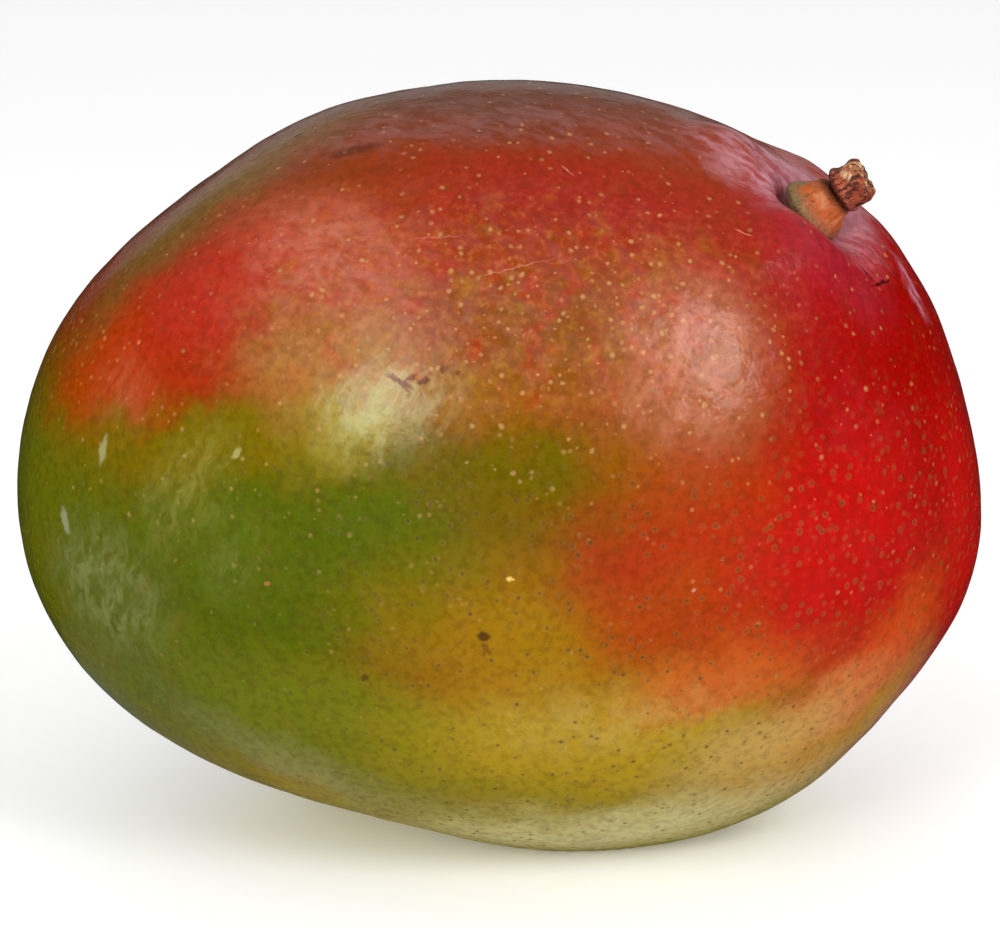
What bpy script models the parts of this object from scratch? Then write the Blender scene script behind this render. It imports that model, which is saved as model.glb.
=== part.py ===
"""A ripe mango lying on its side: the fruit, the swollen base of its stem and the woody stub above it.

Metres, +Z up, +X towards the stem end, -Y towards the broad cheek. The fruit rests on a small
flat spot at Z = 0, and the bottom centre of its bounding box is the origin.
"""

from math import cos, exp, pi, radians, sin

import bmesh
import bpy
from mathutils import Vector

MM = 0.001
COLLECTION = "mango"
CUTTERS = "mango_cutters"

# The fruit before its swellings and hollows: an ellipsoid around its middle
HALF_LENGTH = 62.4 * MM
HALF_THICKNESS = 43.5 * MM
HALF_HEIGHT = 50.5 * MM
MEAN_RADIUS = 54 * MM
REST_DEPTH = 49.4 * MM  # from the middle of the fruit down to the flat spot that it lies on

# Where the stem leaves the fruit: degrees from +X up towards +Z, then towards the far side, +Y
STEM_LONGITUDE = 42.3
STEM_LATITUDE = -12.0

# Longitude, latitude (degrees), height and spread of each broad swelling (+) or hollow (-)
SWELLINGS = (
    (306, 0, 4.1 * MM, 27 * MM),  # full belly under the stem end
    (267, 0, 0.9 * MM, 10 * MM),  # underside, where the weight rests
    (347, 0, 1.7 * MM, 13 * MM),  # corner of the blunt end
    (8, 0, -1.0 * MM, 13 * MM),  # slope of the blunt end above that corner
    (198, 0, 2.5 * MM, 22 * MM),  # blunt tip at the far end from the stem
    (248, 0, -4.3 * MM, 18 * MM),  # flattened flank between the tip and the belly
    (140, 0, -1.8 * MM, 16 * MM),  # slope from the back down to the tip
    (150, 34, 1.4 * MM, 16 * MM),  # far cheek, fuller towards the tip
    (130, -58, 0.7 * MM, 16 * MM),  # near cheek, fuller towards the tip
    (43, -42, 0.9 * MM, 14 * MM),  # near cheek, fuller towards the stem
)

# The hollow around the stem, and the folds of the skin that stand around it
STEM_HOLLOW_DEPTH = 3.6 * MM
STEM_HOLLOW_RADIUS = 5.5 * MM
HOLLOW_STEEPNESS = 4
SHOULDER_FOLDS = (
    (57.5, -9, 1.9 * MM, 5.0 * MM),  # shoulder on the back, the tallest fold
    (51, 1, -0.3 * MM, 4.5 * MM),  # dip between the shoulder and the far lip
    (42, -23, 2.3 * MM, 6.0 * MM),  # near lip
    (44, 6, 1.3 * MM, 6.0 * MM),  # far lip
    (34, -4, 0.9 * MM, 6.0 * MM),  # lip towards the blunt end
)

# Rows and columns of the fruit's surface, with the rows closer together near the stem
FRUIT_COLUMNS = 72
FRUIT_ROWS = 54
ROW_CROWDING = 1.35

# The stem, from the floor of its hollow outwards
PIECE_GAP = 0.3 * MM
STEM_SIDES = 32

# The swollen base: its underside curves up from the axis to its foot, its side bows in to the neck
STEM_BASE_LENGTH = 6.0 * MM
STEM_BASE_FOOT_RADIUS = 4.0 * MM
STEM_BASE_FOOT_RISE = 1.9 * MM
STEM_BASE_NECK_RADIUS = 2.7 * MM
STEM_BASE_NECK_ROUNDING = 0.4 * MM
UNDERSIDE_BOW = 0.5 * MM
UNDERSIDE_STEPS = 3
BASE_SIDE_BOW = 0.7 * MM
BASE_SIDE_STEPS = 8

# The woody stub, a little waisted at both ends and rounded where it broke off
STEM_STUB_LENGTH = 4.2 * MM
STEM_STUB_FOOT_RADIUS = 2.7 * MM
STEM_STUB_SHOULDER_RADIUS = 2.75 * MM
STEM_STUB_END_ROUNDING = 0.5 * MM
STUB_SIDE_BOW = 0.15 * MM
STUB_SIDE_STEPS = 5

ON_AXIS = 0.01 * MM  # points nearer than this to an axis count as lying on it

# Plain finishes: linear colour and roughness
SKIN_COLOR = (0.55, 0.10, 0.03)
SKIN_ROUGHNESS = 0.35
BASE_COLOR = (0.42, 0.20, 0.06)
BASE_ROUGHNESS = 0.55
WOOD_COLOR = (0.22, 0.06, 0.02)
WOOD_ROUGHNESS = 0.6


def clear_scene():
    for old_object in list(bpy.data.objects):
        bpy.data.objects.remove(old_object, do_unlink=True)


def make_collection(name):
    collection = bpy.data.collections.new(name)
    bpy.context.scene.collection.children.link(collection)
    return collection


def make_material(name, color, roughness):
    material = bpy.data.materials.new(name)
    material.use_nodes = True
    shader = material.node_tree.nodes["Principled BSDF"]
    shader.inputs["Base Color"].default_value = (*color, 1.0)
    shader.inputs["Roughness"].default_value = roughness
    shader.inputs["Metallic"].default_value = 0.0
    return material


def direction(longitude, latitude):
    """Unit vector at degrees up from +X towards +Z, then away towards +Y."""
    around = radians(longitude)
    aside = radians(latitude)
    return Vector((cos(around) * cos(aside), sin(aside), sin(around) * cos(aside)))


def swelling(outward, longitude, latitude, height, spread):
    """Height of one smooth swelling or hollow in the direction outward."""
    away = outward.angle(direction(longitude, latitude)) * MEAN_RADIUS
    return height * exp(-((away / spread) ** 2))


def stem_hollow(outward):
    """Depth of the hollow around the stem, steep at its wall and flat on its floor."""
    away = outward.angle(direction(STEM_LONGITUDE, STEM_LATITUDE), 0.0) * MEAN_RADIUS
    return STEM_HOLLOW_DEPTH * exp(-((away / STEM_HOLLOW_RADIUS) ** HOLLOW_STEEPNESS))


def fruit_radius(outward):
    """Distance from the middle of the fruit to its skin in the direction outward."""
    stretched = Vector((outward.x / HALF_LENGTH, outward.y / HALF_THICKNESS, outward.z / HALF_HEIGHT))
    radius = 1.0 / stretched.length
    for place in SWELLINGS + SHOULDER_FOLDS:
        radius += swelling(outward, *place)
    return radius - stem_hollow(outward)


def crowd_rows(mesh):
    """Slide the rows of a unit sphere towards its +Z pole."""
    for vertex in mesh.verts:
        tilt = vertex.co.angle(Vector((0, 0, 1)), 0.0)
        crowded = pi * (tilt / pi) ** ROW_CROWDING
        flat = Vector((vertex.co.x, vertex.co.y, 0.0))
        if flat.length > 0.0:
            flat.normalize()
        vertex.co = flat * sin(crowded) + Vector((0, 0, cos(crowded)))


def new_object(name, mesh, material, collection):
    """Object made from a bmesh, shaded smooth."""
    data = bpy.data.meshes.new(name)
    mesh.to_mesh(data)
    mesh.free()
    data.materials.append(material)
    for face in data.polygons:
        face.use_smooth = True
    made = bpy.data.objects.new(name, data)
    collection.objects.link(made)
    return made


def flat_spot_cutter(collection):
    """Block below the fruit whose top is the plane that the fruit lies on."""
    side = 4 * HALF_LENGTH
    mesh = bmesh.new()
    bmesh.ops.create_cube(mesh, size=side)
    data = bpy.data.meshes.new("flat_spot_cutter")
    mesh.to_mesh(data)
    mesh.free()
    cutter = bpy.data.objects.new("flat_spot_cutter", data)
    cutter.location = (0, 0, -REST_DEPTH - side / 2)
    cutter.hide_render = True
    cutter.display_type = "WIRE"
    collection.objects.link(cutter)
    return cutter


def make_fruit(collection, cutters):
    skin = make_material("mango_skin", SKIN_COLOR, SKIN_ROUGHNESS)
    to_stem = direction(STEM_LONGITUDE, STEM_LATITUDE).to_track_quat("Z", "Y").to_matrix()
    mesh = bmesh.new()
    bmesh.ops.create_uvsphere(mesh, u_segments=FRUIT_COLUMNS, v_segments=FRUIT_ROWS, radius=1.0)
    crowd_rows(mesh)
    for vertex in mesh.verts:
        outward = to_stem @ vertex.co.normalized()
        vertex.co = outward * fruit_radius(outward)
    fruit = new_object("mango_fruit", mesh, skin, collection)
    cut = fruit.modifiers.new("flat_spot", "BOOLEAN")
    cut.operation = "DIFFERENCE"
    cut.solver = "EXACT"
    cut.object = flat_spot_cutter(cutters)
    return fruit


def turned_piece(name, profile, material, collection):
    """Closed piece turned around its own Z axis from (radius, height) points, ends on the axis."""
    mesh = bmesh.new()
    corners = [mesh.verts.new((radius, 0.0, height)) for radius, height in profile]
    for lower, upper in zip(corners, corners[1:]):
        mesh.edges.new((lower, upper))
    made = new_object(name, mesh, material, collection)
    turn = made.modifiers.new("turn", "SCREW")
    turn.steps = STEM_SIDES
    turn.render_steps = STEM_SIDES
    turn.use_merge_vertices = True
    turn.merge_threshold = ON_AXIS
    turn.use_normal_calculate = True
    return made


def arc_points(start, end, bulge, count):
    """Points from start to end along a smooth bow that stands out by bulge at its middle."""
    points = []
    for step in range(count + 1):
        share = step / count
        radius = start[0] + (end[0] - start[0]) * share + bulge * sin(pi * share)
        points.append((radius, start[1] + (end[1] - start[1]) * share))
    return points


def place_on_stem_axis(piece, distance):
    """Stand a turned piece on the stem's axis, its foot at a distance from the fruit's middle."""
    outward = direction(STEM_LONGITUDE, STEM_LATITUDE)
    piece.rotation_mode = "QUATERNION"
    piece.rotation_quaternion = outward.to_track_quat("Z", "Y")
    piece.location = outward * distance


def make_stem_base(collection):
    bark = make_material("stem_base", BASE_COLOR, BASE_ROUGHNESS)
    foot = (STEM_BASE_FOOT_RADIUS, STEM_BASE_FOOT_RISE)
    neck = (STEM_BASE_NECK_RADIUS, STEM_BASE_LENGTH - STEM_BASE_NECK_ROUNDING)
    top_edge = (STEM_BASE_NECK_RADIUS - STEM_BASE_NECK_ROUNDING, STEM_BASE_LENGTH)
    underside = arc_points((0.0, 0.0), foot, UNDERSIDE_BOW, UNDERSIDE_STEPS)
    side = arc_points(foot, neck, BASE_SIDE_BOW, BASE_SIDE_STEPS)[1:]
    profile = [*underside, *side, top_edge, (0.0, STEM_BASE_LENGTH)]
    return turned_piece("stem_base", profile, bark, collection)


def make_stem_stub(collection):
    wood = make_material("stem_wood", WOOD_COLOR, WOOD_ROUGHNESS)
    foot = (STEM_STUB_FOOT_RADIUS, 0.0)
    shoulder = (STEM_STUB_SHOULDER_RADIUS, STEM_STUB_LENGTH - STEM_STUB_END_ROUNDING)
    end_edge = (STEM_STUB_SHOULDER_RADIUS - STEM_STUB_END_ROUNDING, STEM_STUB_LENGTH)
    side = arc_points(foot, shoulder, STUB_SIDE_BOW, STUB_SIDE_STEPS)
    profile = [(0.0, 0.0), *side, end_edge, (0.0, STEM_STUB_LENGTH)]
    return turned_piece("stem_stub", profile, wood, collection)


def stand_on_origin(root, fruit):
    """Move the whole fruit so that the bottom centre of its bounding box is the origin."""
    bpy.context.view_layer.update()
    solid = fruit.evaluated_get(bpy.context.evaluated_depsgraph_get())
    corners = [fruit.matrix_world @ Vector(corner) for corner in solid.bound_box]
    lowest = Vector(min(corner[axis] for corner in corners) for axis in range(3))
    highest = Vector(max(corner[axis] for corner in corners) for axis in range(3))
    middle = (lowest + highest) / 2
    root.location = (-middle.x, -middle.y, REST_DEPTH)


def build():
    clear_scene()
    parts = make_collection(COLLECTION)
    cutters = make_collection(CUTTERS)
    root = bpy.data.objects.new("mango_root", None)
    parts.objects.link(root)

    fruit = make_fruit(parts, cutters)
    stem_base = make_stem_base(parts)
    stem_stub = make_stem_stub(parts)

    hollow_floor = fruit_radius(direction(STEM_LONGITUDE, STEM_LATITUDE))
    place_on_stem_axis(stem_base, hollow_floor + PIECE_GAP)
    place_on_stem_axis(stem_stub, hollow_floor + STEM_BASE_LENGTH + 2 * PIECE_GAP)

    for piece in (fruit, stem_base, stem_stub, fruit.modifiers["flat_spot"].object):
        piece.parent = root
    stand_on_origin(root, fruit)


build()
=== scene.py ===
"""Looks of the mango: its skin, its stem, a pale floor, soft studio light and the camera.

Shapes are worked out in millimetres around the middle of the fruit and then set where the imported
part has it. +X runs towards the stem end, +Z up, and the camera looks at the -Y side.
"""

from math import cos, pi, radians, sin, sqrt

import bmesh
import bpy
import numpy as np
from mathutils import Matrix, Vector, noise


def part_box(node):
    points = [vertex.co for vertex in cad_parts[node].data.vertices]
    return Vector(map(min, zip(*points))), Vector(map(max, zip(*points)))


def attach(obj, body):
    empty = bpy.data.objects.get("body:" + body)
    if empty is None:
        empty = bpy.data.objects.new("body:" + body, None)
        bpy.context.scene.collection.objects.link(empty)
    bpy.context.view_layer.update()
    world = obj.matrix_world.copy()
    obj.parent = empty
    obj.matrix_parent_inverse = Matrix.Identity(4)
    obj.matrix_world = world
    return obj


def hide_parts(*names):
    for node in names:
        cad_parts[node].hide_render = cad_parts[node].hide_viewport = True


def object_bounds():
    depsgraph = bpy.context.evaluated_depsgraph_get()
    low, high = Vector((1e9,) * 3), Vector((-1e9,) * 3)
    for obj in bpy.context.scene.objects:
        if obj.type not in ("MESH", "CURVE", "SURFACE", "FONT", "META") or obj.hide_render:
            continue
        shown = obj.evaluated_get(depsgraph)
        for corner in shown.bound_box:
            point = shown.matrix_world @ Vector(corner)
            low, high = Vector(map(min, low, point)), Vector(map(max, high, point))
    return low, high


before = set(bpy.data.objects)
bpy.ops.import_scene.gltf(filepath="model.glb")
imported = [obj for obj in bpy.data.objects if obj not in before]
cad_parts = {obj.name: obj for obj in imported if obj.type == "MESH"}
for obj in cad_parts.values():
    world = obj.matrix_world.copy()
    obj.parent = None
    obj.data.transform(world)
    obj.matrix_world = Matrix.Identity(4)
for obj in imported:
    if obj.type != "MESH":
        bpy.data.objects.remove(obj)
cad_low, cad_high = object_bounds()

MM = 0.001

# The fruit, as in the part: an ellipsoid around its middle, in mm
HALF_LENGTH = 62.4
HALF_THICKNESS = 43.5
HALF_HEIGHT = 50.5
MEAN_RADIUS = 54.0
REST_DEPTH = 49.4
STEM_LONGITUDE = 42.3
STEM_LATITUDE = -12.0

# Longitude, latitude (degrees), height and spread (mm) of each swelling (+) or hollow (-)
SWELLINGS = (
    (306, 0, 4.1, 27),  # full belly under the stem end
    (267, 0, 0.9, 10),  # underside, where the weight rests
    (347, 0, 1.7, 13),  # corner of the blunt end
    (8, 0, -1.0, 13),  # slope of the blunt end above that corner
    (198, 0, 2.5, 22),  # blunt tip at the far end from the stem
    (248, 0, -4.3, 18),  # flattened flank between the tip and the belly
    (140, 0, -1.8, 16),  # slope from the back down to the tip
    (150, 34, 1.4, 16),  # far cheek, fuller towards the tip
    (130, -58, 0.7, 16),  # near cheek, fuller towards the tip
    (43, -42, 0.9, 14),  # near cheek, fuller towards the stem
)
SHOULDER_FOLDS = (
    (57.5, -9, 1.9, 5.0),  # shoulder on the back, the tallest fold
    (51, 1, -0.3, 4.5),  # dip between the shoulder and the far lip
    (42, -23, 2.3, 6.0),  # near lip
    (44, 6, 1.3, 6.0),  # far lip
    (34, -4, 0.9, 6.0),  # lip towards the blunt end
)
STEM_HOLLOW_DEPTH = 3.6
STEM_HOLLOW_RADIUS = 5.5
HOLLOW_STEEPNESS = 4

# Unevenness of the skin all over: size of its features and their height, in mm
UNEVENNESS = ((15.0, 0.18), (5.5, 0.09), (2.6, 0.05))

# Wrinkles that run out from the stem: how many around (roughly), their length and height in mm
STEM_WRINKLES = ((9, 16.0, 0.34), (20, 9.0, 0.20), (38, 6.0, 0.08))
# How far from the stem they start, over what distance they reach their height, and where they end
WRINKLE_START = 5.0
WRINKLE_RISE = 4.0
WRINKLE_END = 34.0

FRUIT_COLUMNS = 300
FRUIT_ROWS = 280
ROW_CROWDING = 1.35  # above 1, the rows lie closer together around the stem

# The stem, as in the part, in mm; its outlines are (radius, height) points from foot to end
PIECE_GAP = 0.3
STEM_BASE_LENGTH = 6.0
STUB_LEAN = 10.0
STEM_COLUMNS = 128
STEM_ROWS = 96
STEM_BASE_OUTLINE = (
    (0.0, 0.2), (2.2, 0.5), (4.0, 1.5), (4.45, 2.2), (4.15, 3.0), (3.6, 3.8), (3.15, 4.6), (2.9, 5.3),
    (2.75, 5.7), (2.4, 5.95), (0.0, 6.0),
)
STEM_STUB_OUTLINE = (
    (0.0, 0.0), (2.2, 0.02), (2.75, 0.25), (2.95, 0.8), (2.75, 1.3), (2.7, 2.2), (2.75, 3.2), (2.6, 3.75),
    (2.3, 3.95), (1.5, 3.85), (0.6, 3.5), (0.0, 3.4),
)

# Unevenness of the stem: how high up (mm) the base is broad, how broad it gets, and how rough it is
BROAD_TOP = 4.4
BROAD_SPAN = 3.4
BROADER_ALL_ROUND = 0.04
BROADER_AT_BACK = 0.16
LUMP_HEIGHT = 0.30
SMALL_LUMP_HEIGHT = 0.12
GROOVE_DEPTH = 0.10
BASE_ROUGHNESS = 0.26
# The stub: its ribs and chips as shares of its radius, and the torn end from TEAR_START up, in mm
RIB_SHARE = 0.07
CHIP_SHARE = 0.06
TEAR_START = 2.8
TEAR_SPAN = 1.2
TEAR_HEIGHT = 0.75
TEAR_SLOPE = 0.12

# The camera, on the -Y side of the fruit and CAMERA_ELEVATION degrees above the level of its middle
CAMERA_ELEVATION = 14.0
CAMERA_LENS = 135.0
CAMERA_SENSOR = 36.0
CAMERA_DISTANCE = 494.0
CAMERA_AIM = (0.0, -0.4)  # mm right and up of the middle


# ---------------------------------------------------------------- shape of the fruit


def direction(longitude, latitude):
    """Unit vector at degrees up from +X towards +Z, then away towards +Y."""
    around = radians(longitude)
    aside = radians(latitude)
    return np.array((cos(around) * cos(aside), sin(aside), sin(around) * cos(aside)))


def surface_distance(outward, toward):
    """Distance over the skin, in mm, from each direction in outward to the direction toward."""
    return np.arccos(np.clip(outward @ toward, -1.0, 1.0)) * MEAN_RADIUS


def swelling(outward, longitude, latitude, height, spread):
    """Height in mm that one swelling adds in each direction in outward."""
    away = surface_distance(outward, direction(longitude, latitude))
    return height * np.exp(-((away / spread) ** 2))


def stem_hollow(outward):
    """Depth in mm of the hollow around the stem."""
    away = surface_distance(outward, direction(STEM_LONGITUDE, STEM_LATITUDE))
    return STEM_HOLLOW_DEPTH * np.exp(-((away / STEM_HOLLOW_RADIUS) ** HOLLOW_STEEPNESS))


def stem_frame():
    """Axes around the stem: along it, across it (back towards the tip) and aside (to the near cheek)."""
    along = direction(STEM_LONGITUDE, STEM_LATITUDE)
    across = np.cross(along, np.array((0.0, 1.0, 0.0)))
    across /= np.linalg.norm(across)
    return along, across, np.cross(along, across)


def noise_at(spots):
    """Smooth noise from -1 to 1 at each spot."""
    return np.array([noise.noise(spot) for spot in spots.tolist()])


def stem_wrinkles(outward):
    """Uneven ridges that run out from the stem, strongest beside its hollow."""
    along, across, aside = stem_frame()
    away = surface_distance(outward, along)
    around = np.arctan2(outward @ aside, outward @ across)
    height = np.zeros(len(outward))
    for count, length, tall in STEM_WRINKLES:
        ring = count / 4.0
        spots = np.stack((np.cos(around) * ring, np.sin(around) * ring, away / length + count), 1)
        height += tall * noise_at(spots)
    rise = np.clip((away - WRINKLE_START) / WRINKLE_RISE, 0.0, 1.0)
    fall = np.clip((WRINKLE_END - away) / (WRINKLE_END - WRINKLE_START), 0.0, 1.0)
    return height * rise * fall


def unevenness(outward):
    """Height in mm of the skin's own unevenness."""
    height = np.zeros(len(outward))
    for size, tall in UNEVENNESS:
        height += tall * noise_at(outward * (MEAN_RADIUS / size) + size)
    return height


def fruit_radius(outward):
    """Distance in mm from the middle of the fruit to its skin in each direction in outward."""
    halves = np.array((HALF_LENGTH, HALF_THICKNESS, HALF_HEIGHT))
    radius = 1.0 / np.linalg.norm(outward / halves, axis=1)
    for place in SWELLINGS + SHOULDER_FOLDS:
        radius += swelling(outward, *place)
    return radius - stem_hollow(outward)


def crowd_rows(points):
    """Slide the rows of a unit sphere towards its +Z pole."""
    tilt = np.arccos(np.clip(points[:, 2], -1.0, 1.0))
    crowded = pi * (tilt / pi) ** ROW_CROWDING
    around = np.arctan2(points[:, 1], points[:, 0])
    ring = np.sin(crowded)
    return np.stack((ring * np.cos(around), ring * np.sin(around), np.cos(crowded)), 1)


def mesh_points(mesh):
    points = np.empty(len(mesh.vertices) * 3)
    mesh.vertices.foreach_get("co", points)
    return points.reshape(-1, 3)


def new_object(name, mesh, points, location):
    """Smooth object whose mesh is moved to points, in mm around location."""
    mesh.vertices.foreach_set("co", (points * MM).ravel())
    made = bpy.data.objects.new(name, mesh)
    bpy.context.scene.collection.objects.link(made)
    made.location = location
    mesh.shade_smooth()
    return made


def unit_sphere(name, columns, rows):
    coarser = 1
    sphere = bmesh.new()
    bmesh.ops.create_uvsphere(sphere, u_segments=columns // coarser, v_segments=rows // coarser, radius=1.0)
    mesh = bpy.data.meshes.new(name)
    sphere.to_mesh(mesh)
    sphere.free()
    return mesh


def make_fruit():
    """The fruit, flat where it rests, its middle where the part has it."""
    mesh = unit_sphere("mango_skin", FRUIT_COLUMNS, FRUIT_ROWS)
    along, across, aside = stem_frame()
    ball = crowd_rows(mesh_points(mesh))
    outward = ball[:, :1] * across + ball[:, 1:2] * aside + ball[:, 2:] * along
    plain = outward * fruit_radius(outward)[:, None]
    off_centre = Vector((plain.min(axis=0) + plain.max(axis=0)) / 2)
    points = plain + outward * (unevenness(outward) + stem_wrinkles(outward))[:, None]
    points[:, 2] = np.maximum(points[:, 2], -REST_DEPTH)
    low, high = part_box("mango_fruit")
    middle = (low + high) / 2 - off_centre * MM
    middle.z = low.z + REST_DEPTH * MM
    return new_object("mango_skin", mesh, points, middle)


# ---------------------------------------------------------------- shape of the stem


def path_at(outline, shares):
    """Points along a smooth curve through the outline, at shares from 0 to 1 of its length."""
    corners = np.array(outline)
    steps = np.linalg.norm(np.diff(corners, axis=0), axis=1)
    marks = np.concatenate(((0.0,), np.cumsum(steps))) / steps.sum()
    slopes = np.gradient(corners, marks, axis=0)
    index = np.clip(np.searchsorted(marks, shares, side="right") - 1, 0, len(steps) - 1)
    gap = (marks[index + 1] - marks[index])[:, None]
    s = (shares - marks[index])[:, None] / gap
    start = corners[index] * (1 + 2 * s) + slopes[index] * gap * s
    end = corners[index + 1] * (3 - 2 * s) - slopes[index + 1] * gap * (1 - s)
    return start * (1 - s) ** 2 + end * s**2


def turned_shape(name, outline):
    """Ball whose rows follow the outline: its mesh, and the angle, radius and height of its points."""
    mesh = unit_sphere(name, STEM_COLUMNS, STEM_ROWS)
    ball = mesh_points(mesh)
    shares = 1.0 - np.arccos(np.clip(ball[:, 2], -1.0, 1.0)) / pi
    around = np.arctan2(ball[:, 1], ball[:, 0])
    path = path_at(outline, shares)
    return mesh, around, np.maximum(path[:, 0], 0.0), path[:, 1]


def around_spots(around, height, ring, stretch):
    """Spots on a ring, for noise that goes round a stem and changes along it."""
    return np.stack((np.cos(around) * ring, np.sin(around) * ring, height * stretch), 1)


def frame_matrix_of(axes, origin):
    """Matrix of a frame of its own: its three axes and where it starts."""
    matrix = Matrix.Identity(4)
    for column, axis in enumerate(axes):
        for row in range(3):
            matrix[row][column] = axis[row]
    matrix.translation = Vector(origin)
    return matrix


def on_stem(distance, lean=0.0):
    """Matrix that brings a piece's own Z to the stem's axis, its foot at distance from the middle."""
    along, across, aside = stem_frame()
    upright = frame_matrix_of((across, aside, along), along * distance)
    return upright @ Matrix.Rotation(radians(-lean), 4, "Y")


def place_points(matrix, points):
    turn = np.array(matrix.to_3x3())
    return points @ turn.T + np.array(matrix.translation)


def hollow_floor():
    """Distance in mm from the middle of the fruit to the floor of the hollow around the stem."""
    return fruit_radius(direction(STEM_LONGITUDE, STEM_LATITUDE)[None])[0]


def make_stem_base(middle):
    """The swollen base of the stem, broader towards the back of the fruit, lumpy and grooved."""
    mesh, around, radius, height = turned_shape("stem_base_bark", STEM_BASE_OUTLINE)
    lumps = LUMP_HEIGHT * noise_at(around_spots(around, height, 1.1, 0.35))
    small_lumps = SMALL_LUMP_HEIGHT * noise_at(around_spots(around, height, 3.0, 0.5) + 7.0)
    grooves = GROOVE_DEPTH * noise_at(around_spots(around, height, 5.5, 0.25) + 3.0)
    low_share = np.clip((BROAD_TOP - height) / BROAD_SPAN, 0.0, 1.0)
    broader = low_share * (BROADER_ALL_ROUND + BROADER_AT_BACK * np.cos(around))
    radius = radius * (1.0 + broader + BASE_ROUGHNESS * (lumps + small_lumps + grooves))
    points = np.stack((radius * np.cos(around), radius * np.sin(around), height), 1)
    placed = place_points(on_stem(hollow_floor() + PIECE_GAP), points)
    return new_object("stem_base_bark", mesh, placed, middle)


def make_stem_stub(middle):
    """The woody stub: a collar below, cracked sides and a torn end with a hollow pith."""
    mesh, around, radius, height = turned_shape("stem_stub_wood", STEM_STUB_OUTLINE)
    ribs = noise_at(around_spots(around, height, 2.6, 0.35))
    chips = noise_at(around_spots(around, height, 1.3, 1.1) + 5.0)
    flare = np.clip((height - TEAR_START) / TEAR_SPAN, 0.0, 1.0)
    points = np.stack((radius * np.cos(around), radius * np.sin(around), height), 1)
    points[:, :2] *= (1.0 + RIB_SHARE * ribs + CHIP_SHARE * chips)[:, None]
    tear = noise_at(points * (0.9, 0.9, 0.0) + 11.0)
    points[:, 2] += flare * (TEAR_HEIGHT * tear + TEAR_SLOPE * points[:, 0])
    placed = place_points(on_stem(hollow_floor() + STEM_BASE_LENGTH + 2 * PIECE_GAP, STUB_LEAN), points)
    return new_object("stem_stub_wood", mesh, placed, middle)


# ---------------------------------------------------------------- node helpers


def srgb(red, green, blue):
    """Linear colour of an ordinary 0 to 255 colour."""
    shares = [value / 255 for value in (red, green, blue)]
    return [s / 12.92 if s <= 0.04045 else ((s + 0.055) / 1.055) ** 2.4 for s in shares] + [1.0]


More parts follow.
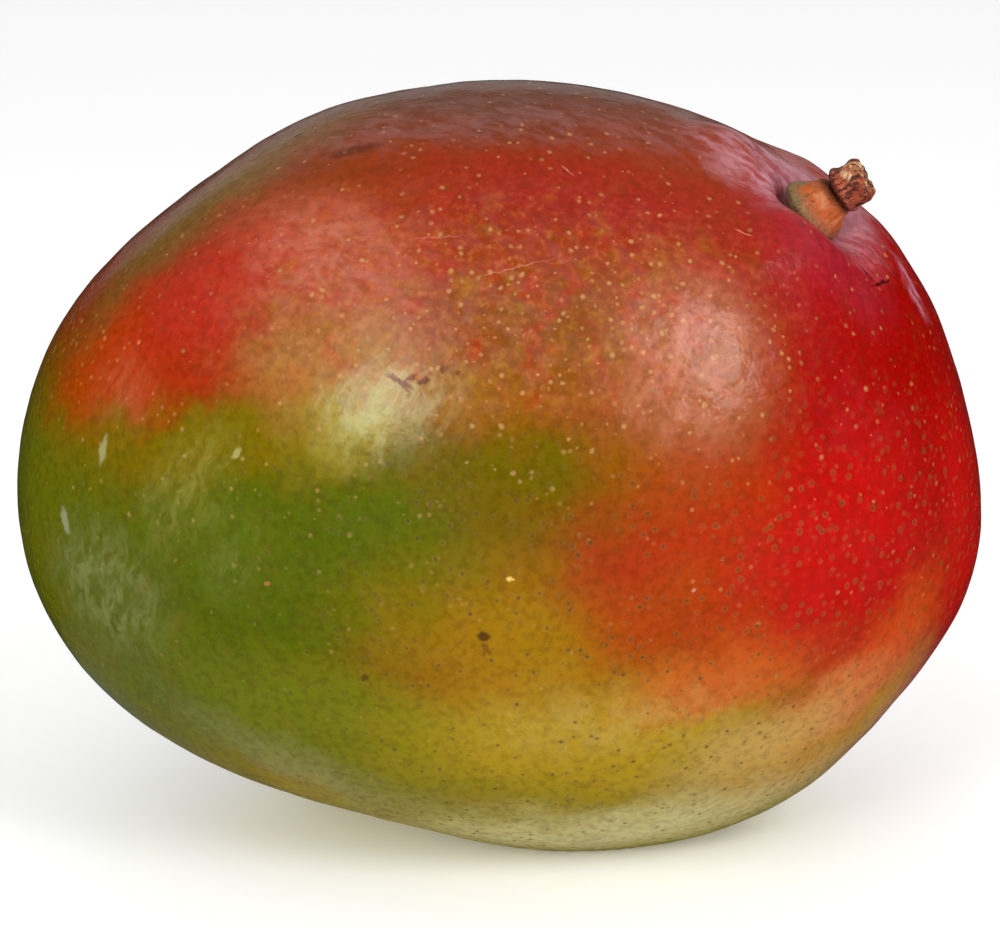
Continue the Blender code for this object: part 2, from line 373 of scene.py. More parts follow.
class Nodes:
    """Short calls that add one node each to a material and return its output."""

    def __init__(self, tree):
        self.tree = tree

    def add(self, kind, **settings):
        node = self.tree.nodes.new(kind)
        for name, value in settings.items():
            setattr(node, name, value)
        return node

    def put(self, socket, value):
        """Link value into socket if it is another node's output, or else set it."""
        if isinstance(value, bpy.types.NodeSocket):
            self.tree.links.new(value, socket)
        else:
            socket.default_value = value

    def math(self, operation, first, second=0.0):
        node = self.add("ShaderNodeMath", operation=operation)
        self.put(node.inputs[0], first)
        self.put(node.inputs[1], second)
        return node.outputs[0]

    def times(self, first, *others):
        for other in others:
            first = self.math("MULTIPLY", first, other)
        return first

    def vector(self, operation, first, second=(0.0, 0.0, 0.0), scale=None):
        node = self.add("ShaderNodeVectorMath", operation=operation)
        self.put(node.inputs[0], first)
        if scale is None:
            self.put(node.inputs[1], second)
        else:
            self.put(node.inputs["Scale"], scale)
        return node.outputs["Value"] if operation in ("DOT_PRODUCT", "LENGTH") else node.outputs["Vector"]

    def split(self, value):
        node = self.add("ShaderNodeSeparateXYZ")
        self.put(node.inputs[0], value)
        return node.outputs

    def span(self, value, low, high, to_low=0.0, to_high=1.0):
        """Value from low to high brought to the span from to_low to to_high, with soft ends."""
        node = self.add("ShaderNodeMapRange", interpolation_type="SMOOTHSTEP")
        for name, number in (("From Min", low), ("From Max", high), ("To Min", to_low), ("To Max", to_high)):
            self.put(node.inputs[name], number)
        self.put(node.inputs["Value"], value)
        return node.outputs["Result"]

    def mix(self, share, under, over):
        """Colour over laid on colour under by share."""
        node = self.add("ShaderNodeMix", data_type="RGBA", clamp_factor=True)
        self.put(node.inputs[0], share)
        self.put(node.inputs[6], under)
        self.put(node.inputs[7], over)
        return node.outputs[2]

    def noise(self, place, size, detail=2.0, rough=0.5, distortion=0.0):
        """Outputs of cloudy noise with features about size across."""
        node = self.add("ShaderNodeTexNoise")
        self.put(node.inputs["Vector"], place)
        node.inputs["Scale"].default_value = 1.0 / size
        node.inputs["Detail"].default_value = detail
        node.inputs["Roughness"].default_value = rough
        node.inputs["Distortion"].default_value = distortion
        return node.outputs

    def cells(self, place, size):
        """Distance from the nearest scattered point, in cells, and that point's random colour."""
        node = self.add("ShaderNodeTexVoronoi", feature="F1")
        self.put(node.inputs["Vector"], place)
        node.inputs["Scale"].default_value = 1.0 / size
        node.inputs["Randomness"].default_value = 0.95
        return node.outputs["Distance"], node.outputs["Color"]

    def shift(self, metres, noise_color, amount):
        """Place in metres moved by up to amount mm each way, by a noise's colour."""
        centred = self.vector("SUBTRACT", noise_color, (0.5, 0.5, 0.5))
        return self.vector("ADD", metres, self.vector("SCALE", centred, scale=amount * 2 * MM))

    def in_mm(self, metres, start=(0.0, 0.0, 0.0)):
        """Place in metres brought to mm, counted from start."""
        node = self.add("ShaderNodeMapping")
        self.put(node.inputs["Vector"], metres)
        node.inputs["Location"].default_value = start
        node.inputs["Scale"].default_value = (1 / MM, 1 / MM, 1 / MM)
        return node.outputs["Vector"]

    def stretched(self, place, frame_matrix, sizes):
        """Place in a frame of its own, each axis measured in its size."""
        node = self.add("ShaderNodeMapping", vector_type="TEXTURE")
        self.put(node.inputs["Vector"], place)
        node.inputs["Location"].default_value = frame_matrix.translation
        node.inputs["Rotation"].default_value = frame_matrix.to_euler("XYZ")
        node.inputs["Scale"].default_value = sizes
        return node.outputs["Vector"]

    def blob(self, place, frame_matrix, halves, softness, strength=1.0):
        """Strength inside an ellipsoid with those half sizes, fading to 0 at its surface."""
        ball = self.add("ShaderNodeTexGradient", gradient_type="SPHERICAL")
        self.put(ball.inputs["Vector"], place)
        ball.texture_mapping.vector_type = "TEXTURE"
        ball.texture_mapping.translation = frame_matrix.translation
        ball.texture_mapping.rotation = frame_matrix.to_euler("XYZ")
        ball.texture_mapping.scale = halves
        return self.span(ball.outputs["Fac"], 0.0, softness, 0.0, strength)

    def bump(self, height):
        """Normal of a surface raised by height, in mm."""
        node = self.add("ShaderNodeBump")
        node.inputs["Distance"].default_value = MM
        self.put(node.inputs["Height"], height)
        return node.outputs["Normal"]


def new_material(name):
    material = bpy.data.materials.new(name)
    material.use_nodes = True
    nodes = Nodes(material.node_tree)
    shader = material.node_tree.nodes["Principled BSDF"]
    return material, nodes, shader


def object_place(nodes):
    return nodes.add("ShaderNodeTexCoord").outputs["Object"]


# ---------------------------------------------------------------- where things are on the skin


def view_axes():
    """Right, up and towards the camera, for someone who looks at the near cheek."""
    tilt = radians(CAMERA_ELEVATION)
    return (
        np.array((1.0, 0.0, 0.0)),
        np.array((0.0, sin(tilt), cos(tilt))),
        np.array((0.0, -cos(tilt), sin(tilt))),
    )


def near_point(right, up):
    """Point of the near cheek that shows right and up of the fruit's middle, all in mm."""
    rightward, upward, nearer = view_axes()
    halves = np.array((HALF_LENGTH, HALF_THICKNESS, HALF_HEIGHT))
    eye = nearer * CAMERA_DISTANCE
    ray = rightward * right + upward * up - eye
    a = np.dot(ray / halves, ray / halves)
    b = np.dot(eye / halves, ray / halves)
    c = np.dot(eye / halves, eye / halves) - 1.0
    share = (-b - sqrt(max(b * b - a * c, 0.0))) / a
    outward = eye + ray * share
    outward /= np.linalg.norm(outward)
    return outward * fruit_radius(outward[None])[0]


def round_point(longitude, latitude):
    """Point of the skin in that direction, in mm from the middle of the fruit."""
    outward = direction(longitude, latitude)
    return outward * fruit_radius(outward[None])[0]


def skin_frame(point, turn):
    """Axes on the skin at point: across (turned up by turn degrees), along and outward."""
    halves = np.array((HALF_LENGTH, HALF_THICKNESS, HALF_HEIGHT))
    outward = point / halves**2
    outward /= np.linalg.norm(outward)
    rightward, upward, nearer = view_axes()
    lean = rightward * cos(radians(turn)) + upward * sin(radians(turn))
    across = lean - outward * np.dot(lean, outward)
    if np.linalg.norm(across) < 0.05:
        across = upward - outward * np.dot(upward, outward)
    across /= np.linalg.norm(across)
    return frame_matrix_of((across, np.cross(outward, across), outward), point)


# ---------------------------------------------------------------- skin

# Colours that go all the way round: longitude, latitude (degrees), half width and half height (mm),
# turn, colour, strength and softness of each, laid one over another
BASE_COLOUR = (142, 44, 5)
WIDE_PATCHES = (
    ("olive back", 125, 12, 42, 46, 0, (112, 58, 10), 0.9, 0.7),
    ("green tip", 200, 0, 44, 60, 0, (92, 98, 0), 1.0, 0.4),
    ("far green flank", 232, 60, 46, 40, 0, (94, 96, 2), 0.9, 0.7),
    ("ochre underside", 278, -6, 62, 54, 0, (138, 120, 8), 1.0, 0.4),
    # The underside's khaki, made paler to stand in for light from the white floor: partly painted light.
    ("khaki rest", 270, 0, 56, 32, 0, (206, 194, 84), 0.95, 0.7),
    ("crimson end", 4, 0, 50, 56, 90, (156, 2, 3), 1.0, 0.35),
    ("far orange lobe", 325, 50, 30, 24, 20, (162, 52, 4), 0.9, 0.8),
    ("far pink brow", 110, 50, 26, 18, 20, (160, 66, 36), 0.8, 0.9),
    ("far red cheek", 50, 60, 34, 26, 0, (168, 32, 10), 0.9, 0.8),
    ("far tan waist", 175, 60, 34, 16, -10, (156, 104, 34), 0.8, 0.9),
    ("olive crown", 88, 0, 38, 26, 0, (92, 46, 12), 0.9, 0.7),
)
# The near cheek: where each patch shows (mm right and up of the middle), then as above
NEAR_PATCHES = (
    ("green flank", -28, -13, 43, 26, 8, (78, 92, 0), 1.0, 0.68),
    ("grey green foot", -46, -24, 24, 15, -35, (78, 88, 10), 0.8, 0.8),
    ("olive foot", -18, -36, 38, 15, -12, (100, 108, 0), 0.95, 0.7),
    ("ochre belly", 3, -24, 28, 18, -12, (148, 108, 0), 0.95, 0.9),
    ("tan belly", 11, -37, 37, 15, 4, (166, 134, 14), 0.9, 0.8),
    ("ochre heel", 43, -34, 24, 14, 38, (168, 118, 0), 0.95, 0.7),
    ("red tip", -52, 13.5, 18, 12.5, 25, (170, 56, 4), 1.0, 0.9),
    ("brown upper cheek", 2, 24, 54, 20, 0, (146, 52, 2), 1.0, 0.6),
    ("dark red waist", 18, 12, 24, 9, 0, (146, 66, 4), 0.9, 0.8),
    ("olive waist", 4, -1, 28, 11, -6, (94, 87, 0), 0.9, 0.9),
    ("brown waist", 20, -1, 12, 7, -15, (138, 76, 0), 0.8, 0.9),
    ("olive step", -42, 3, 32, 8, 4, (112, 98, 0), 0.9, 0.8),
    ("tan waist", -8, 10, 28, 8, 0, (138, 94, 14), 0.8, 0.9),
    ("red crown", 14, 35, 36, 11, -8, (146, 30, 20), 0.9, 0.8),
    ("olive brow", -40, 35, 32, 9, 38, (118, 88, 36), 0.9, 0.8),
    ("pink brow", -24, 28, 22, 13, -30, (166, 72, 40), 0.95, 0.8),
    ("tan cheek", -24, 13.5, 17, 10, 0, (158, 104, 44), 0.95, 0.8),
    ("vermilion streak", -40, 21, 21, 13, 26, (172, 34, 8), 1.0, 0.85),
    ("freckled middle", 8, 18, 24, 11, -5, (128, 72, 0), 0.85, 0.8),
    # Cream-green skin made paler under the left highlight: partly a painted highlight.
    ("cream under painted highlight", -20, 6, 13, 8, 10, (148, 132, 34), 0.9, 0.9),
    ("dusky shoulder", 24, 12, 16, 20, 10, (152, 84, 44), 0.95, 0.8),
    ("orange lobe", 30, -11, 27, 18, 20, (160, 42, 0), 1.0, 0.8),
    ("red wedge", 21, -19, 16, 9, 30, (158, 58, 0), 0.8, 0.8),
    ("salmon lobe", 31, -27, 21, 9, 12, (184, 80, 16), 0.9, 0.8),
    ("crimson end", 51, 8, 23.5, 43, 8, (152, 0, 1), 1.0, 0.55),
    ("scarlet cheek", 45, -10, 22, 19, 14, (178, 3, 3), 0.95, 0.8),
    ("orange heel edge", 49, -25, 22, 10, 38, (190, 66, 6), 0.95, 0.8),
    ("crimson rim", 61, -6, 10, 24, 0, (186, 2, 2), 0.9, 0.8),
    # Pale grey on the bottom rim is painted reflection of the white floor, laid over the underside's khaki
    # and olive.
    ("khaki rest edge with floor sheen", 12, -48, 46, 13, 2, (206, 198, 146), 0.85, 1.0),
    ("grey sole floor reflection", -24, -41, 30, 8, -24, (142, 146, 100), 0.42, 1.0),
    ("tan heel", 35, -36, 26, 9, 20, (188, 152, 82), 0.75, 0.9),
    ("pink stem end", 41, 29, 17, 11, -45, (156, 32, 46), 0.8, 0.9),
    ("lavender hollow", 41, 37, 12, 8, -32, (170, 110, 120), 0.85, 0.8),
)
# Pale wax that dulls the skin, broken up by streaks, and among it painted highlights and painted sheen: as
# the near patches
BLOOMS_AND_SHEENS = (
    ("foot wax", -52, -16, 13, 15, 70, (150, 158, 98), 0.42, 0.9),
    ("flank wax", -42, -3, 14, 8, 50, (154, 148, 64), 0.40, 0.9),
    ("flank wax low", -36, -12, 10, 6, 60, (120, 132, 50), 0.30, 0.9),
    ("tip wax", -50, 10, 8, 9, 60, (196, 120, 80), 0.25, 0.9),
    ("brow wax", -24, 28, 18, 11, -35, (206, 134, 110), 0.30, 0.9),
    ("stem wax", 38, 37, 18, 11, -28, (192, 134, 146), 0.95, 0.7),
    ("collar wax", 46, 30, 9, 6, -45, (196, 112, 124), 0.65, 0.9),
    ("cheek bloom", -3, 24, 50, 20, -2, (206, 150, 176), 0.045, 0.8),
    # Painted reflection: a pale lavender sheen along the top rim, where the skin mirrors the light above.
    ("crown painted sheen", 0, 46, 58, 10, -2, (200, 160, 168), 0.14, 0.9),
    # Painted highlight: a pale streak along the shiny ridge on the right rim.
    ("end painted highlight streak", 53.6, 23.7, 7, 2.4, -55, (214, 150, 168), 0.70, 0.8),
    ("end wax", 47, 6, 9, 14, 70, (196, 50, 60), 0.16, 0.9),
    ("belly wax", 16, -34, 28, 9, 0, (190, 162, 84), 0.35, 0.9),
    # Painted highlights: pale colour laid under the lamps' highlights, which also roughens the skin there to
    # soften them.
    ("left painted highlight", -15.5, 8, 13, 10, 25, (200, 202, 146), 0.36, 0.95),
    ("right painted highlight", 25, 14, 16, 13, 65, (220, 142, 122), 0.40, 0.95),
)
# Small marks: where each shows, half length and half width in mm, turn, colour and strength
MARKS = (
    ("scar stem", -13.5, 10.9, 2.6, 0.48, -29, (100, 36, 0), 0.85),
    ("scar branch", -12.8, 9.9, 1.3, 0.35, -44, (110, 44, 4), 0.75),
    ("scar arm", -12.2, 11.3, 1.3, 0.36, 24, (104, 40, 4), 0.8),
    ("scar blot", -10.4, 10.9, 1.1, 0.6, 20, (92, 34, 2), 0.85),
    ("scar far blot", -7.8, 12.4, 0.9, 0.62, 30, (100, 40, 6), 0.8),
    ("scar dot", -6.0, 12.0, 0.5, 0.4, 0, (104, 44, 10), 0.75),
    ("belly blemish", -2.6, -22.6, 1.1, 0.8, 10, (66, 38, 10), 0.85),
    ("belly blemish tail", -2.2, -24.2, 1.3, 0.5, -60, (92, 60, 8), 0.6),
    ("flank dot", -18.2, -28.1, 0.8, 0.6, 10, (84, 52, 12), 0.8),
    ("pale dot", 0.9, -15.0, 0.5, 0.45, 0, (226, 196, 100), 0.8),
    ("pink dot", -31.2, -15.7, 0.5, 0.4, 0, (176, 110, 70), 0.7),
    ("heel dot", 25.1, -16.4, 0.5, 0.45, 0, (200, 140, 110), 0.7),
    ("brow bruise", -19.5, 41.5, 4.6, 1.3, 8, (84, 34, 16), 0.65),
    ("rim spot", -27.3, 43.8, 0.9, 0.5, 25, (60, 40, 20), 0.8),
    ("long scratch", -8.8, 30.0, 4.2, 0.13, 1, (206, 130, 112), 0.35),
    ("crown scratch", 8.5, 38.8, 1.6, 0.14, -62, (214, 140, 110), 0.6),
    ("shoulder scratch", 31.2, 30.2, 1.5, 0.13, -24, (216, 140, 106), 0.65),
    ("freckle scratch", 1.6, 26.0, 6.4, 0.14, 17, (206, 136, 106), 0.35),
    ("wax chip", -52.6, 2.0, 2.6, 0.80, 68, (168, 166, 112), 0.65),
    ("wax chip low", -57.0, -7.2, 2.4, 1.0, -78, (156, 160, 124), 0.6),
    ("wax chip right", -35.1, 1.5, 1.2, 0.6, 42, (172, 168, 100), 0.65),
    ("foot crack", -50.6, -20.8, 1.2, 0.13, -4, (44, 50, 14), 0.8),
    ("foot crack low", -50.2, -21.5, 1.4, 0.11, -6, (44, 50, 14), 0.7),
    ("end crack", 49.7, 23.9, 3.0, 0.34, 28, (74, 4, 12), 0.95),
    ("end crack arm", 47.7, 25.2, 1.8, 0.28, -30, (80, 4, 14), 0.85),
    # Painted shade: brown spots where dimples break the right highlight, partly the skin's own brown marks.
    ("painted dimple shade", 20.4, 11.0, 1.0, 0.5, -65, (140, 78, 40), 0.6),
    ("painted dimple shade low", 18.6, 8.0, 1.0, 0.45, -60, (136, 72, 36), 0.6),
    ("painted dimple shade right", 31.2, 11.6, 1.0, 0.5, -55, (150, 66, 36), 0.6),
    ("painted dimple shade far", 34.6, 14.4, 0.9, 0.5, 50, (150, 50, 40), 0.5),
    ("end pit", 54.2, 20.3, 0.6, 0.3, -65, (86, 24, 30), 0.7),
)


# Cloudy shifts of hue and fine grain, over the patches: size of their features in mm, and colours
CLOUD_SIZE = 4.2
OCHRE_CLOUDS = (150, 104, 16)
RED_CLOUDS = (172, 26, 14)
PINK_CLOUDS = (206, 110, 84)
GRAIN_SIZE = 1.1
DARK_GRAIN = (60, 30, 0)
LIGHT_GRAIN = (210, 156, 66)
# Streaks that break up the wax, in mm along, across and through the skin
STREAK_SIZES = (4.2, 1.5, 3.0)
# Lenticels: mm from one to the next, and colours of the dots, their pits and halos
PALE_SPACING = 1.22
PALE_DOT = (202, 154, 92)
PALE_DOT_PIT = (104, 70, 36)
DARK_SPACING = 1.5
DARK_START = (50.0, 20.0, 10.0)  # keeps the dark dots away from the pale ones
DARK_DOT = (76, 54, 18)
DARK_DOT_HALO = (140, 116, 64)
# Size of the three noises that make edges wander, and how far (mm) each moves what it is used on
BROAD_SIZE = 17.0
MEDIUM_SIZE = 5.0
FINE_SIZE = 0.9
BROAD_WANDER = 5.0
MEDIUM_WANDER = 4.0
WAX_WANDER = 2.0
LENTICEL_WANDER = 0.22
MARK_WANDER = 0.45
# Gloss, and the fine ripples of the skin, in mm
CLEAN_ROUGHNESS = (0.19, 0.26)
WAX_ROUGHNESS = 0.20
SKIN_SPECULAR = 0.24
RIPPLE_SIZE = 2.0
RIPPLE_HEIGHT = 0.13
DIMPLED_HEIGHT = 0.07  # more, around the right glow


def patch_colours(nodes, place):
    """The colours of the skin, patch over patch, with a painted highlight and painted floor reflection among
    them.
    """
    colour = srgb(*BASE_COLOUR)
    places = [(round_point(*patch[1:3]), patch) for patch in WIDE_PATCHES]
    places += [(near_point(*patch[1:3]), patch) for patch in NEAR_PATCHES]
    for point, (name, first, second, wide, tall, turn, tint, strength, softness) in places:
        halves = (wide, tall, max(wide, tall))
        share = nodes.blob(place, skin_frame(point, turn), halves, softness, strength)
        colour = nodes.mix(share, colour, srgb(*tint))
    return colour


def mottling(nodes, metres, colour):
    """Cloudy shifts of hue, and fine grain, in the colour of the skin."""
    place = nodes.in_mm(metres)
    mixed = nodes.blob(place, skin_frame(near_point(0, 22), 0), (58, 24, 46), 0.9)
    first, second, third = nodes.split(nodes.noise(place, CLOUD_SIZE, 3.0, 0.65)["Color"])
    ochre = nodes.times(nodes.span(first, 0.50, 0.70), nodes.span(mixed, 0.0, 1.0, 0.02, 0.50))
    colour = nodes.mix(ochre, colour, srgb(*OCHRE_CLOUDS))
    red = nodes.times(nodes.span(second, 0.50, 0.70), nodes.span(mixed, 0.0, 1.0, 0.05, 0.50))
    colour = nodes.mix(red, colour, srgb(*RED_CLOUDS))
    pink = nodes.times(nodes.span(third, 0.52, 0.72), nodes.span(mixed, 0.0, 1.0, 0.0, 0.20))
    colour = nodes.mix(pink, colour, srgb(*PINK_CLOUDS))
    grain = nodes.noise(place, GRAIN_SIZE, 3.0, 0.6)["Fac"]
    colour = nodes.mix(nodes.span(grain, 0.58, 0.32, 0.0, 0.26), colour, srgb(*DARK_GRAIN))
    light = nodes.times(nodes.span(grain, 0.50, 0.74), nodes.span(mixed, 0.0, 1.0, 0.015, 0.15))
    return nodes.mix(light, colour, srgb(*LIGHT_GRAIN))


def wax(nodes, place, colour):
    """Pale bloom on the skin, with painted highlights and painted sheen, and how much of it lies at each
    place.
    """
    rising = skin_frame(near_point(-40, 0), 62)
    falling = skin_frame(near_point(30, 30), -34)
    streaks = []
    for way in (rising, falling):
        streak = nodes.noise(nodes.stretched(place, way, STREAK_SIZES), 1.0, 2.0, 0.65)["Fac"]
        streaks.append(nodes.span(streak, 0.34, 0.70, 0.15, 1.0))
    total = 0.0
    for name, right, up, wide, tall, turn, tint, strength, softness in BLOOMS_AND_SHEENS:
        frame_matrix = skin_frame(near_point(right, up), turn)
        share = nodes.blob(place, frame_matrix, (wide, tall, max(wide, tall)), softness, strength)
        share = nodes.times(share, streaks[0] if turn > 0 else streaks[1])
        colour = nodes.mix(share, colour, srgb(*tint))
        total = nodes.math("MAXIMUM", total, share)
    return colour, total


def lenticels(nodes, metres, colour):
    """Pale dots, crowded on the upper cheek, and duller dark ones with a halo below."""
    place = nodes.in_mm(metres)
    across, away, height = nodes.split(place)
    freckled = nodes.blob(place, skin_frame(near_point(7, 20), 0), (40, 20, 36), 0.9)
    pale_zone = nodes.math("ADD", nodes.span(height, -18.0, 20.0, 0.0, 0.22), nodes.times(freckled, 0.78))
    dark_zone = nodes.times(nodes.span(height, 27.0, 2.0), nodes.span(across, -44.0, 0.0, 0.3, 1.0))

    gap, tint = nodes.cells(place, PALE_SPACING)
    size, fade, other = nodes.split(tint)
    chosen = nodes.span(nodes.math("ADD", fade, pale_zone), 0.65, 1.40, 0.0, 0.54)
    edge = nodes.span(size, 0.0, 1.0, 0.20, 0.40)
    pale = nodes.times(nodes.span(gap, edge, nodes.times(edge, 0.25)), chosen)
    colour = nodes.mix(pale, colour, srgb(*PALE_DOT))
    pit = nodes.times(nodes.span(gap, 0.11, 0.04), chosen, nodes.span(other, 0.4, 0.7, 0.0, 0.9))
    colour = nodes.mix(pit, colour, srgb(*PALE_DOT_PIT))

    gap, tint = nodes.cells(nodes.in_mm(metres, DARK_START), DARK_SPACING)
    size, fade, other = nodes.split(tint)
    chosen = nodes.times(nodes.span(fade, 0.1, 0.7, 0.2, 1.0), dark_zone)
    halo = nodes.times(nodes.span(gap, 0.42, 0.20), chosen)
    core = nodes.times(nodes.span(gap, 0.26, 0.08), chosen)
    colour = nodes.mix(nodes.times(halo, 0.16), colour, srgb(*DARK_DOT_HALO))
    return nodes.mix(nodes.times(core, 0.66), colour, srgb(*DARK_DOT))


def marks(nodes, place, colour):
    """Scars, scratches, chips and cracks, and brown spots of painted dimple shade, one by one."""
    for name, right, up, long, wide, turn, tint, strength in MARKS:
        frame_matrix = skin_frame(near_point(right, up), turn)
        share = nodes.blob(place, frame_matrix, (long, wide, max(long, 2.0)), 0.6, strength)
        colour = nodes.mix(share, colour, srgb(*tint))
    return colour


def make_skin_material():
    """Peel: patches, clouds, wax with painted highlights and sheen, lenticels, marks and painted dimple
    shade laid one over another, and a soft gloss.
    """
    material, nodes, shader = new_material("mango_peel")
    metres = object_place(nodes)
    place = nodes.in_mm(metres)
    broad = nodes.noise(place, BROAD_SIZE, 2.0)["Color"]
    medium = nodes.noise(place, MEDIUM_SIZE, 3.0, 0.6)
    fine = nodes.noise(place, FINE_SIZE, 2.0)["Color"]

    wavy = nodes.shift(nodes.shift(metres, broad, BROAD_WANDER), medium["Color"], MEDIUM_WANDER)
    colour = patch_colours(nodes, nodes.in_mm(wavy))
    colour = mottling(nodes, metres, colour)
    softly_moved = nodes.in_mm(nodes.shift(metres, medium["Color"], WAX_WANDER))
    colour, wax_and_sheen = wax(nodes, softly_moved, colour)
    colour = lenticels(nodes, nodes.shift(metres, fine, LENTICEL_WANDER), colour)
    colour = marks(nodes, nodes.in_mm(nodes.shift(metres, fine, MARK_WANDER)), colour)
    nodes.put(shader.inputs["Base Color"], colour)

    roughness = nodes.span(medium["Fac"], 0.3, 0.7, *CLEAN_ROUGHNESS)
    wax_and_sheen_roughness = nodes.times(wax_and_sheen, WAX_ROUGHNESS)
    nodes.put(shader.inputs["Roughness"], nodes.math("ADD", roughness, wax_and_sheen_roughness))
    shader.inputs["Specular IOR Level"].default_value = SKIN_SPECULAR

    ripples = nodes.noise(place, RIPPLE_SIZE, 2.0, 0.6)["Fac"]
    around_glow = skin_frame(near_point(24, 12), 60)
    dimpled = nodes.blob(place, around_glow, (21, 15, 20), 0.9, DIMPLED_HEIGHT)
    height = nodes.math("MULTIPLY", ripples, nodes.math("ADD", dimpled, RIPPLE_HEIGHT))
    nodes.put(shader.inputs["Normal"], nodes.bump(height))
    return material


# ---------------------------------------------------------------- stem


def make_base_material():
    """Dull tissue of the stem's base: olive, orange and pinkish tan, with fine dark grooves."""
    material, nodes, shader = new_material("stem_bark")
    along, across, aside = stem_frame()
    place = nodes.in_mm(object_place(nodes))
    foot = hollow_floor() + PIECE_GAP
    height = nodes.math("SUBTRACT", nodes.vector("DOT_PRODUCT", place, tuple(along)), foot)
    back = nodes.vector("DOT_PRODUCT", place, tuple(across))
    patchy = nodes.noise(place, 2.6, 4.0, 0.6, 0.5)["Fac"]
    colour = nodes.mix(nodes.span(back, -2.5, 3.5), srgb(164, 92, 60), srgb(120, 100, 62))
    orange = nodes.times(nodes.span(height, 2.2, 4.2), nodes.span(patchy, 0.30, 0.55))
    colour = nodes.mix(orange, colour, srgb(184, 78, 14))
    colour = nodes.mix(nodes.span(patchy, 0.54, 0.72, 0.0, 0.45), colour, srgb(206, 150, 106))
    lengthways = nodes.stretched(place, on_stem(foot), (0.45, 0.45, 2.6))
    grooves = nodes.noise(lengthways, 1.0, 3.0, 0.6)["Fac"]
    colour = nodes.mix(nodes.span(grooves, 0.46, 0.30, 0.0, 0.6), colour, srgb(96, 48, 22))
    ring = nodes.span(height, 5.0, 5.9)
    colour = nodes.mix(nodes.times(ring, 0.75), colour, srgb(74, 28, 16))
    nodes.put(shader.inputs["Base Color"], colour)
    nodes.put(shader.inputs["Roughness"], nodes.span(patchy, 0.3, 0.7, 0.42, 0.6))
    shader.inputs["Specular IOR Level"].default_value = 0.3
    nodes.put(shader.inputs["Normal"], nodes.bump(nodes.times(grooves, 0.35)))
    return material


def make_stub_material():
    """Dry wood: red-brown bark with dark cracks, and a torn end of cream and tan fibres."""
    material, nodes, shader = new_material("stem_wood_grain")
    along, across, aside = stem_frame()
    place = nodes.in_mm(object_place(nodes))
    frame_matrix = on_stem(hollow_floor() + STEM_BASE_LENGTH + 2 * PIECE_GAP, STUB_LEAN)
    local = nodes.stretched(place, frame_matrix, (1.0, 1.0, 1.0))
    height = nodes.split(local)[2]
    patchy = nodes.noise(place, 1.5, 4.0, 0.65, 0.8)["Fac"]
    colour = nodes.mix(nodes.span(patchy, 0.35, 0.65), srgb(128, 44, 24), srgb(176, 86, 52))
    lengthways = nodes.stretched(place, frame_matrix, (0.5, 0.5, 1.6))
    cracks = nodes.noise(lengthways, 1.0, 4.0, 0.6, 0.6)["Fac"]
    flat = nodes.vector("MULTIPLY", local, (1.0, 1.0, 0.0))
    inner = nodes.span(nodes.vector("LENGTH", flat), 2.35, 1.9)
    end = nodes.times(nodes.span(height, 3.0, 3.6), inner)
    peeled = nodes.blob(place, frame_matrix @ Matrix.Translation((2.0, 1.2, 3.0)), (2.1, 1.7, 1.5), 0.35)
    end = nodes.math("MAXIMUM", end, peeled)
    torn = nodes.mix(nodes.span(patchy, 0.44, 0.62), srgb(176, 104, 66), srgb(240, 198, 150))
    colour = nodes.mix(end, colour, torn)
    colour = nodes.mix(nodes.span(cracks, 0.49, 0.42, 0.0, 0.9), colour, srgb(58, 22, 12))
    ring = nodes.span(height, 0.9, 0.2)
    colour = nodes.mix(nodes.times(ring, 0.8), colour, srgb(58, 20, 12))
    nodes.put(shader.inputs["Base Color"], colour)
    nodes.put(shader.inputs["Roughness"], nodes.span(patchy, 0.3, 0.7, 0.4, 0.65))
    shader.inputs["Specular IOR Level"].default_value = 0.35
    nodes.put(shader.inputs["Normal"], nodes.bump(nodes.times(cracks, 0.5)))
    return material


# ---------------------------------------------------------------- stage, light and camera

FLOOR_SIZE = 12.0
FLOOR_NEAR = (0.080, 0.060)  # half sizes, in m, of the floor close to the fruit
DOME_LIGHT = 1.32
ZENITH_SHARE = 0.5  # the top of the dome is this much dimmer
BACK_LIGHT = 0.42
HORIZON_LIGHT = 0.01
MIRRORED_DOME = 0.18  # the dome is this much dimmer where it shines off the skin
FLOOR_GLOW = 0.18  # lights up the floor itself, except where it shines off the skin
SEEN_BACKDROP = 0.92  # what the camera sees beyond the floor

# Soft boxes: degrees right of the camera's side, degrees up, distance, width and height in m, radiance
SOFT_BOXES = (
    ("left_soft_box", -22, 21, 0.90, 0.31, 0.23, 8.8),
    ("left_tall_box", -22, 38, 0.95, 0.36, 0.60, 2.1),
    ("right_soft_box", 43, 30, 0.90, 0.27, 0.46, 7.8),
)


def make_floor():
    """A white floor that looks darker, away from the fruit, where it shines off the skin."""
    bpy.ops.mesh.primitive_plane_add(size=FLOOR_SIZE)
    floor = bpy.context.object
    floor.name = "floor"
    material, nodes, shader = new_material("floor")
    coordinates = nodes.add("ShaderNodeTexCoord")
    rays = nodes.add("ShaderNodeLightPath")
    shares = (1 / FLOOR_NEAR[0], 1 / FLOOR_NEAR[1], 0.0)
    stretched = nodes.vector("MULTIPLY", coordinates.outputs["Object"], shares)
    beyond = nodes.span(nodes.vector("LENGTH", stretched), 0.95, 1.4, 0.8, 1.0)
    share = nodes.math("MULTIPLY", beyond, rays.outputs["Is Glossy Ray"])
    nodes.put(shader.inputs["Base Color"], nodes.mix(share, srgb(248, 248, 248), srgb(20, 20, 20)))
    shader.inputs["Emission Color"].default_value = (1.0, 1.0, 1.0, 1.0)
    glow = nodes.span(rays.outputs["Is Glossy Ray"], 0.0, 1.0, FLOOR_GLOW, 0.0)
    nodes.put(shader.inputs["Emission Strength"], glow)
    shader.inputs["Roughness"].default_value = 0.8
    shader.inputs["Specular IOR Level"].default_value = 0.1
    floor.data.materials.append(material)


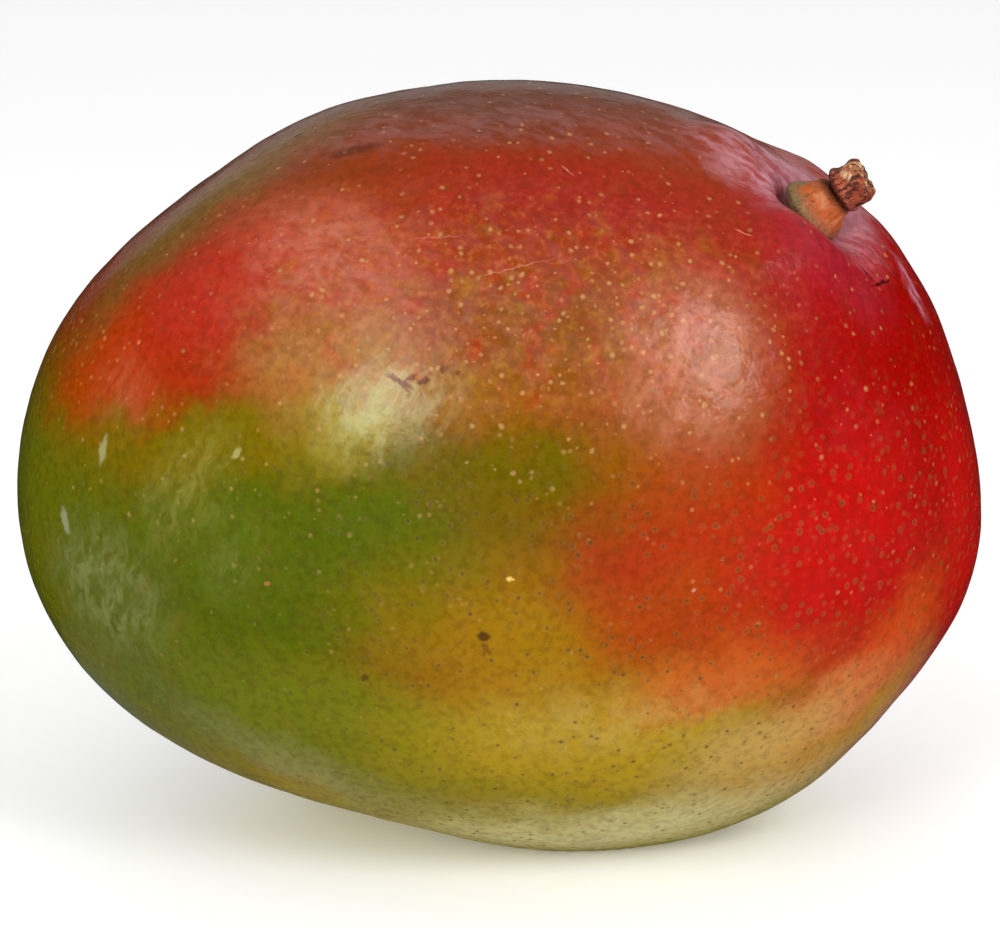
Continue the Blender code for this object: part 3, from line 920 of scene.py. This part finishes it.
def make_world():
    """A bright soft dome that stops above the horizon, and a bright panel low behind the fruit."""
    world = bpy.data.worlds.new("studio")
    bpy.context.scene.world = world
    world.use_nodes = True
    nodes = Nodes(world.node_tree)
    coordinates = nodes.add("ShaderNodeTexCoord")
    across, away, height = nodes.split(coordinates.outputs["Generated"])
    rising = nodes.span(height, 0.34, 0.60, HORIZON_LIGHT, DOME_LIGHT)
    dome = nodes.math("MULTIPLY", rising, nodes.span(height, 0.60, 0.95, 1.0, ZENITH_SHARE))
    behind = nodes.span(away, 0.80, 0.95)
    low = nodes.math("MULTIPLY", nodes.span(height, 0.62, 0.50), nodes.span(height, 0.02, 0.12))
    panel = nodes.times(behind, low, BACK_LIGHT)
    rays = nodes.add("ShaderNodeLightPath")
    mirrored = nodes.span(rays.outputs["Is Glossy Ray"], 0.0, 1.0, 1.0, MIRRORED_DOME)
    light = nodes.math("MAXIMUM", nodes.times(dome, mirrored), panel)
    seen = nodes.times(rays.outputs["Is Camera Ray"], SEEN_BACKDROP)
    light = nodes.math("MAXIMUM", light, seen)
    background = world.node_tree.nodes["Background"]
    background.inputs["Color"].default_value = (1.0, 1.0, 1.0, 1.0)
    nodes.put(background.inputs["Strength"], light)


def make_lamp(target, name, azimuth, elevation, distance, wide, tall, radiance):
    """Soft box that faces the target."""
    around = radians(azimuth)
    rise = radians(elevation)
    back = Vector((sin(around) * cos(rise), -cos(around) * cos(rise), sin(rise)))
    light = bpy.data.lights.new(name, "AREA")
    light.shape = "RECTANGLE"
    light.size = wide
    light.size_y = tall
    light.energy = radiance * pi * wide * tall
    lamp = bpy.data.objects.new(name, light)
    bpy.context.scene.collection.objects.link(lamp)
    lamp.location = target + back * distance
    lamp.rotation_mode = "QUATERNION"
    lamp.rotation_quaternion = back.to_track_quat("Z", "Y")


def make_camera(target):
    """The camera at the photograph's viewing angle."""
    rightward, upward, nearer = view_axes()
    camera_data = bpy.data.cameras.new("camera")
    camera_data.lens = CAMERA_LENS
    camera_data.sensor_width = CAMERA_SENSOR
    camera = bpy.data.objects.new("camera", camera_data)
    bpy.context.scene.collection.objects.link(camera)
    back = Vector(nearer)
    aim = target + Vector(rightward) * CAMERA_AIM[0] * MM + Vector(upward) * CAMERA_AIM[1] * MM
    camera.location = aim + back * CAMERA_DISTANCE * MM
    camera.rotation_mode = "QUATERNION"
    camera.rotation_quaternion = back.to_track_quat("Z", "Y")
    camera_data.clip_start = 0.01
    camera_data.clip_end = 100.0
    bpy.context.scene.camera = camera


# ---------------------------------------------------------------- putting it together


def finish_piece(piece, material, node):
    """Give the piece its material and its place in the part."""
    piece.data.materials.append(material)
    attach(piece, "root")
    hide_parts(node)


def main():
    fruit = make_fruit()
    finish_piece(fruit, make_skin_material(), "mango_fruit")
    finish_piece(make_stem_base(fruit.location), make_base_material(), "stem_base")
    finish_piece(make_stem_stub(fruit.location), make_stub_material(), "stem_stub")

    middle = (cad_low + cad_high) / 2
    make_floor()
    make_world()
    for soft_box in SOFT_BOXES:
        make_lamp(middle, *soft_box)
    make_camera(middle)
    bpy.context.scene.view_settings.view_transform = "Standard"
    # An even dome and three lamps need no importance map and no light tree, which only cost time
    bpy.context.scene.world.cycles.sampling_method = "NONE"
    bpy.context.scene.cycles.use_light_tree = False


main()
